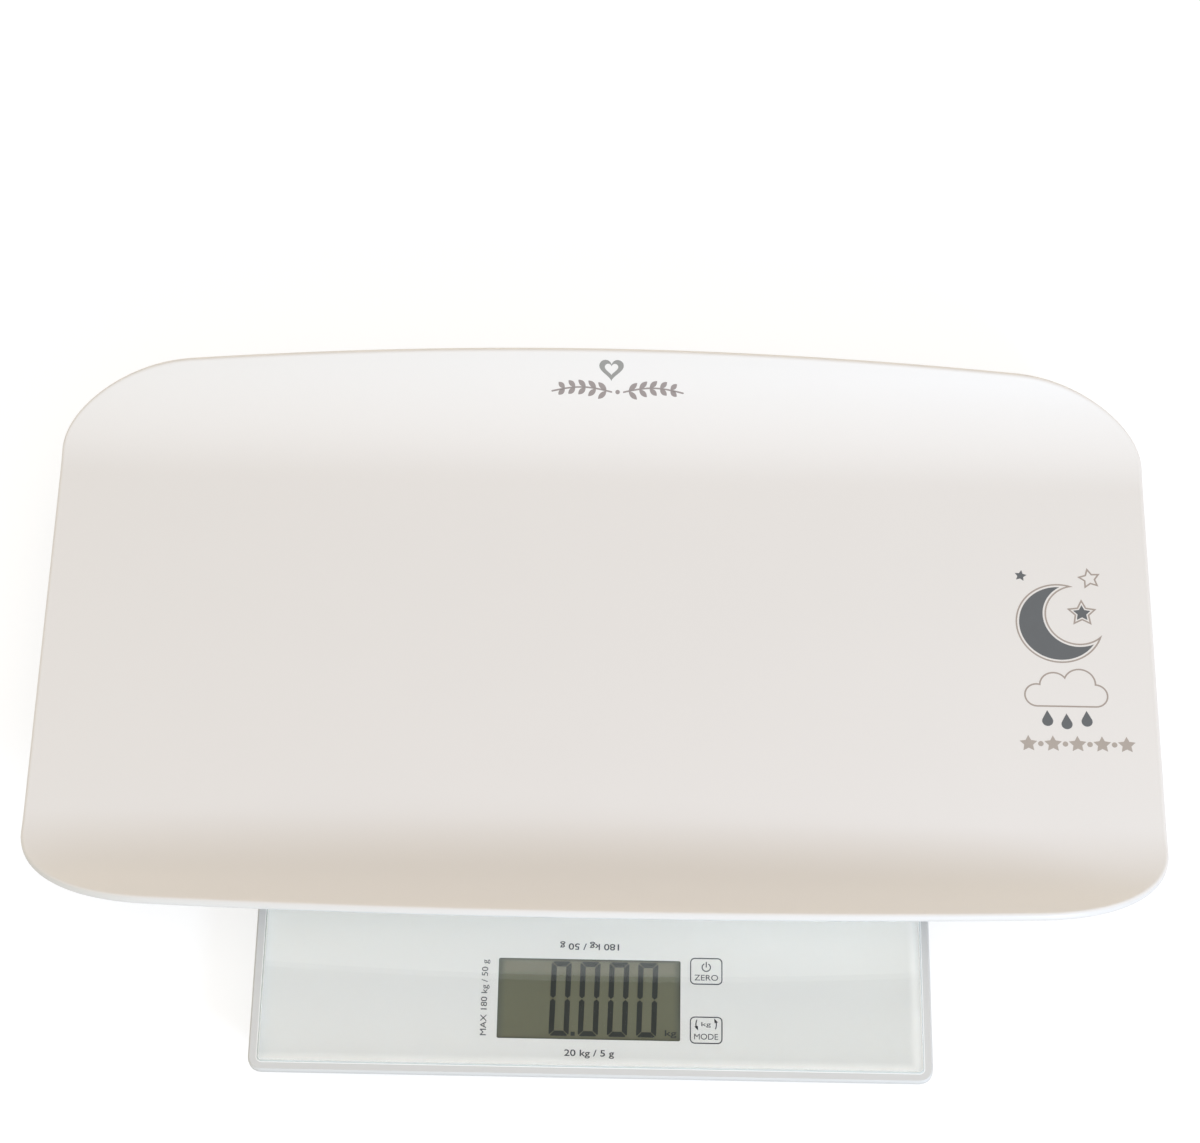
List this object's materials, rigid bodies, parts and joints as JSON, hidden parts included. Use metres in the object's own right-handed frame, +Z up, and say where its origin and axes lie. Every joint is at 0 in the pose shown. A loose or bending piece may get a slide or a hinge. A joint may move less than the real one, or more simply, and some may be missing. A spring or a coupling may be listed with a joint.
{
  "type": "digital baby weighing scale",
  "caption": "Long cradle tray with curved front and back walls lying on a square glass platform scale with a display and touch keys along its front edge.",
  "frame": {"origin": "on the floor, under the middle of the box round the whole scale", "axes": "+X to the right along the tray, +Y to the back, +Z up; the display and keys face -Y"},
  "size_m": [0.528, 0.3548, 0.0687],
  "materials": {
    "tray_plastic": "satin moulded",
    "clear_glass": "polished tempered",
    "white_print": "screen print",
    "foam_tape": "foam",
    "base_plastic": "fine moulded grain",
    "white_plastic": "moulded",
    "lcd": "reflective display glass",
    "black_plastic": "moulded",
    "circuit_board": "solder mask",
    "contact_metal": "plated sheet",
    "capacitor_can": "drawn can",
    "screw_steel": "zinc plated",
    "cell_steel": "stamped plate",
    "battery_coat": "wrapped",
    "foot_rubber": "matte",
    "pad_rubber": "matte",
    "grey_lead": "insulation",
    "red_lead": "insulation"
  },
  "bodies": {
    "platform": {"glass_plate": "clear_glass", "printed_backing": "white_print", "glass_tape": "foam_tape", "base_shell": "base_plastic", "lcd_panel": "lcd", "lcd_frame": "black_plastic", "touch_electrode_tare": "contact_metal", "touch_electrode_hold": "contact_metal", "main_board": "circuit_board", "control_chip": "black_plastic", "capacitor_1": "capacitor_can", "capacitor_2": "capacitor_can", "board_header": "white_plastic", "board_screw_1": "screw_steel", "board_screw_2": "screw_steel", "board_screw_3": "screw_steel", "board_screw_4": "screw_steel", "unit_switch": "black_plastic", "battery_1": "battery_coat", "battery_2": "battery_coat", "battery_3": "battery_coat", "battery_terminal_left": "contact_metal", "battery_link_left": "contact_metal", "battery_link_right": "contact_metal", "battery_terminal_right": "contact_metal", "load_cell_front_left": "cell_steel", "load_cell_front_right": "cell_steel", "load_cell_back_left": "cell_steel", "load_cell_back_right": "cell_steel", "foot_cup_front_left": "base_plastic", "foot_cup_front_right": "base_plastic", "foot_cup_back_left": "base_plastic", "foot_cup_back_right": "base_plastic", "rubber_foot_front_left": "foot_rubber", "rubber_foot_front_right": "foot_rubber", "rubber_foot_back_left": "foot_rubber", "rubber_foot_back_right": "foot_rubber", "load_cell_lead_front_left": "grey_lead", "load_cell_lead_front_right": "grey_lead", "load_cell_lead_back_left": "grey_lead", "load_cell_lead_back_right": "grey_lead", "battery_lead_left": "red_lead", "battery_lead_right": "red_lead"},
    "tray": {"tray_shell": "tray_plastic", "tray_pad_front_left": "pad_rubber", "tray_pad_front_right": "pad_rubber", "tray_pad_back_left": "pad_rubber", "tray_pad_back_right": "pad_rubber"},
    "battery_door": {"battery_door": "base_plastic"},
    "unit_button": {"unit_button": "white_plastic"}
  },
  "joints": [
    {"name": "tray_lift", "type": "slide", "parent": "platform", "child": "tray", "axis": [0, 0, 1], "range_m": [0, 0.08]},
    {"name": "battery_door_tilt", "type": "hinge", "parent": "platform", "child": "battery_door", "pos_m": [-0.03125, -0.00845, 0.009], "axis": [0, 1, 0], "range_deg": [0, 25]},
    {"name": "unit_button_press", "type": "slide", "parent": "platform", "child": "unit_button", "axis": [0, 0, 1], "range_m": [0, 0.0006], "stiffness_N_per_m": 500, "springref_m": -0.0005}
  ]
}
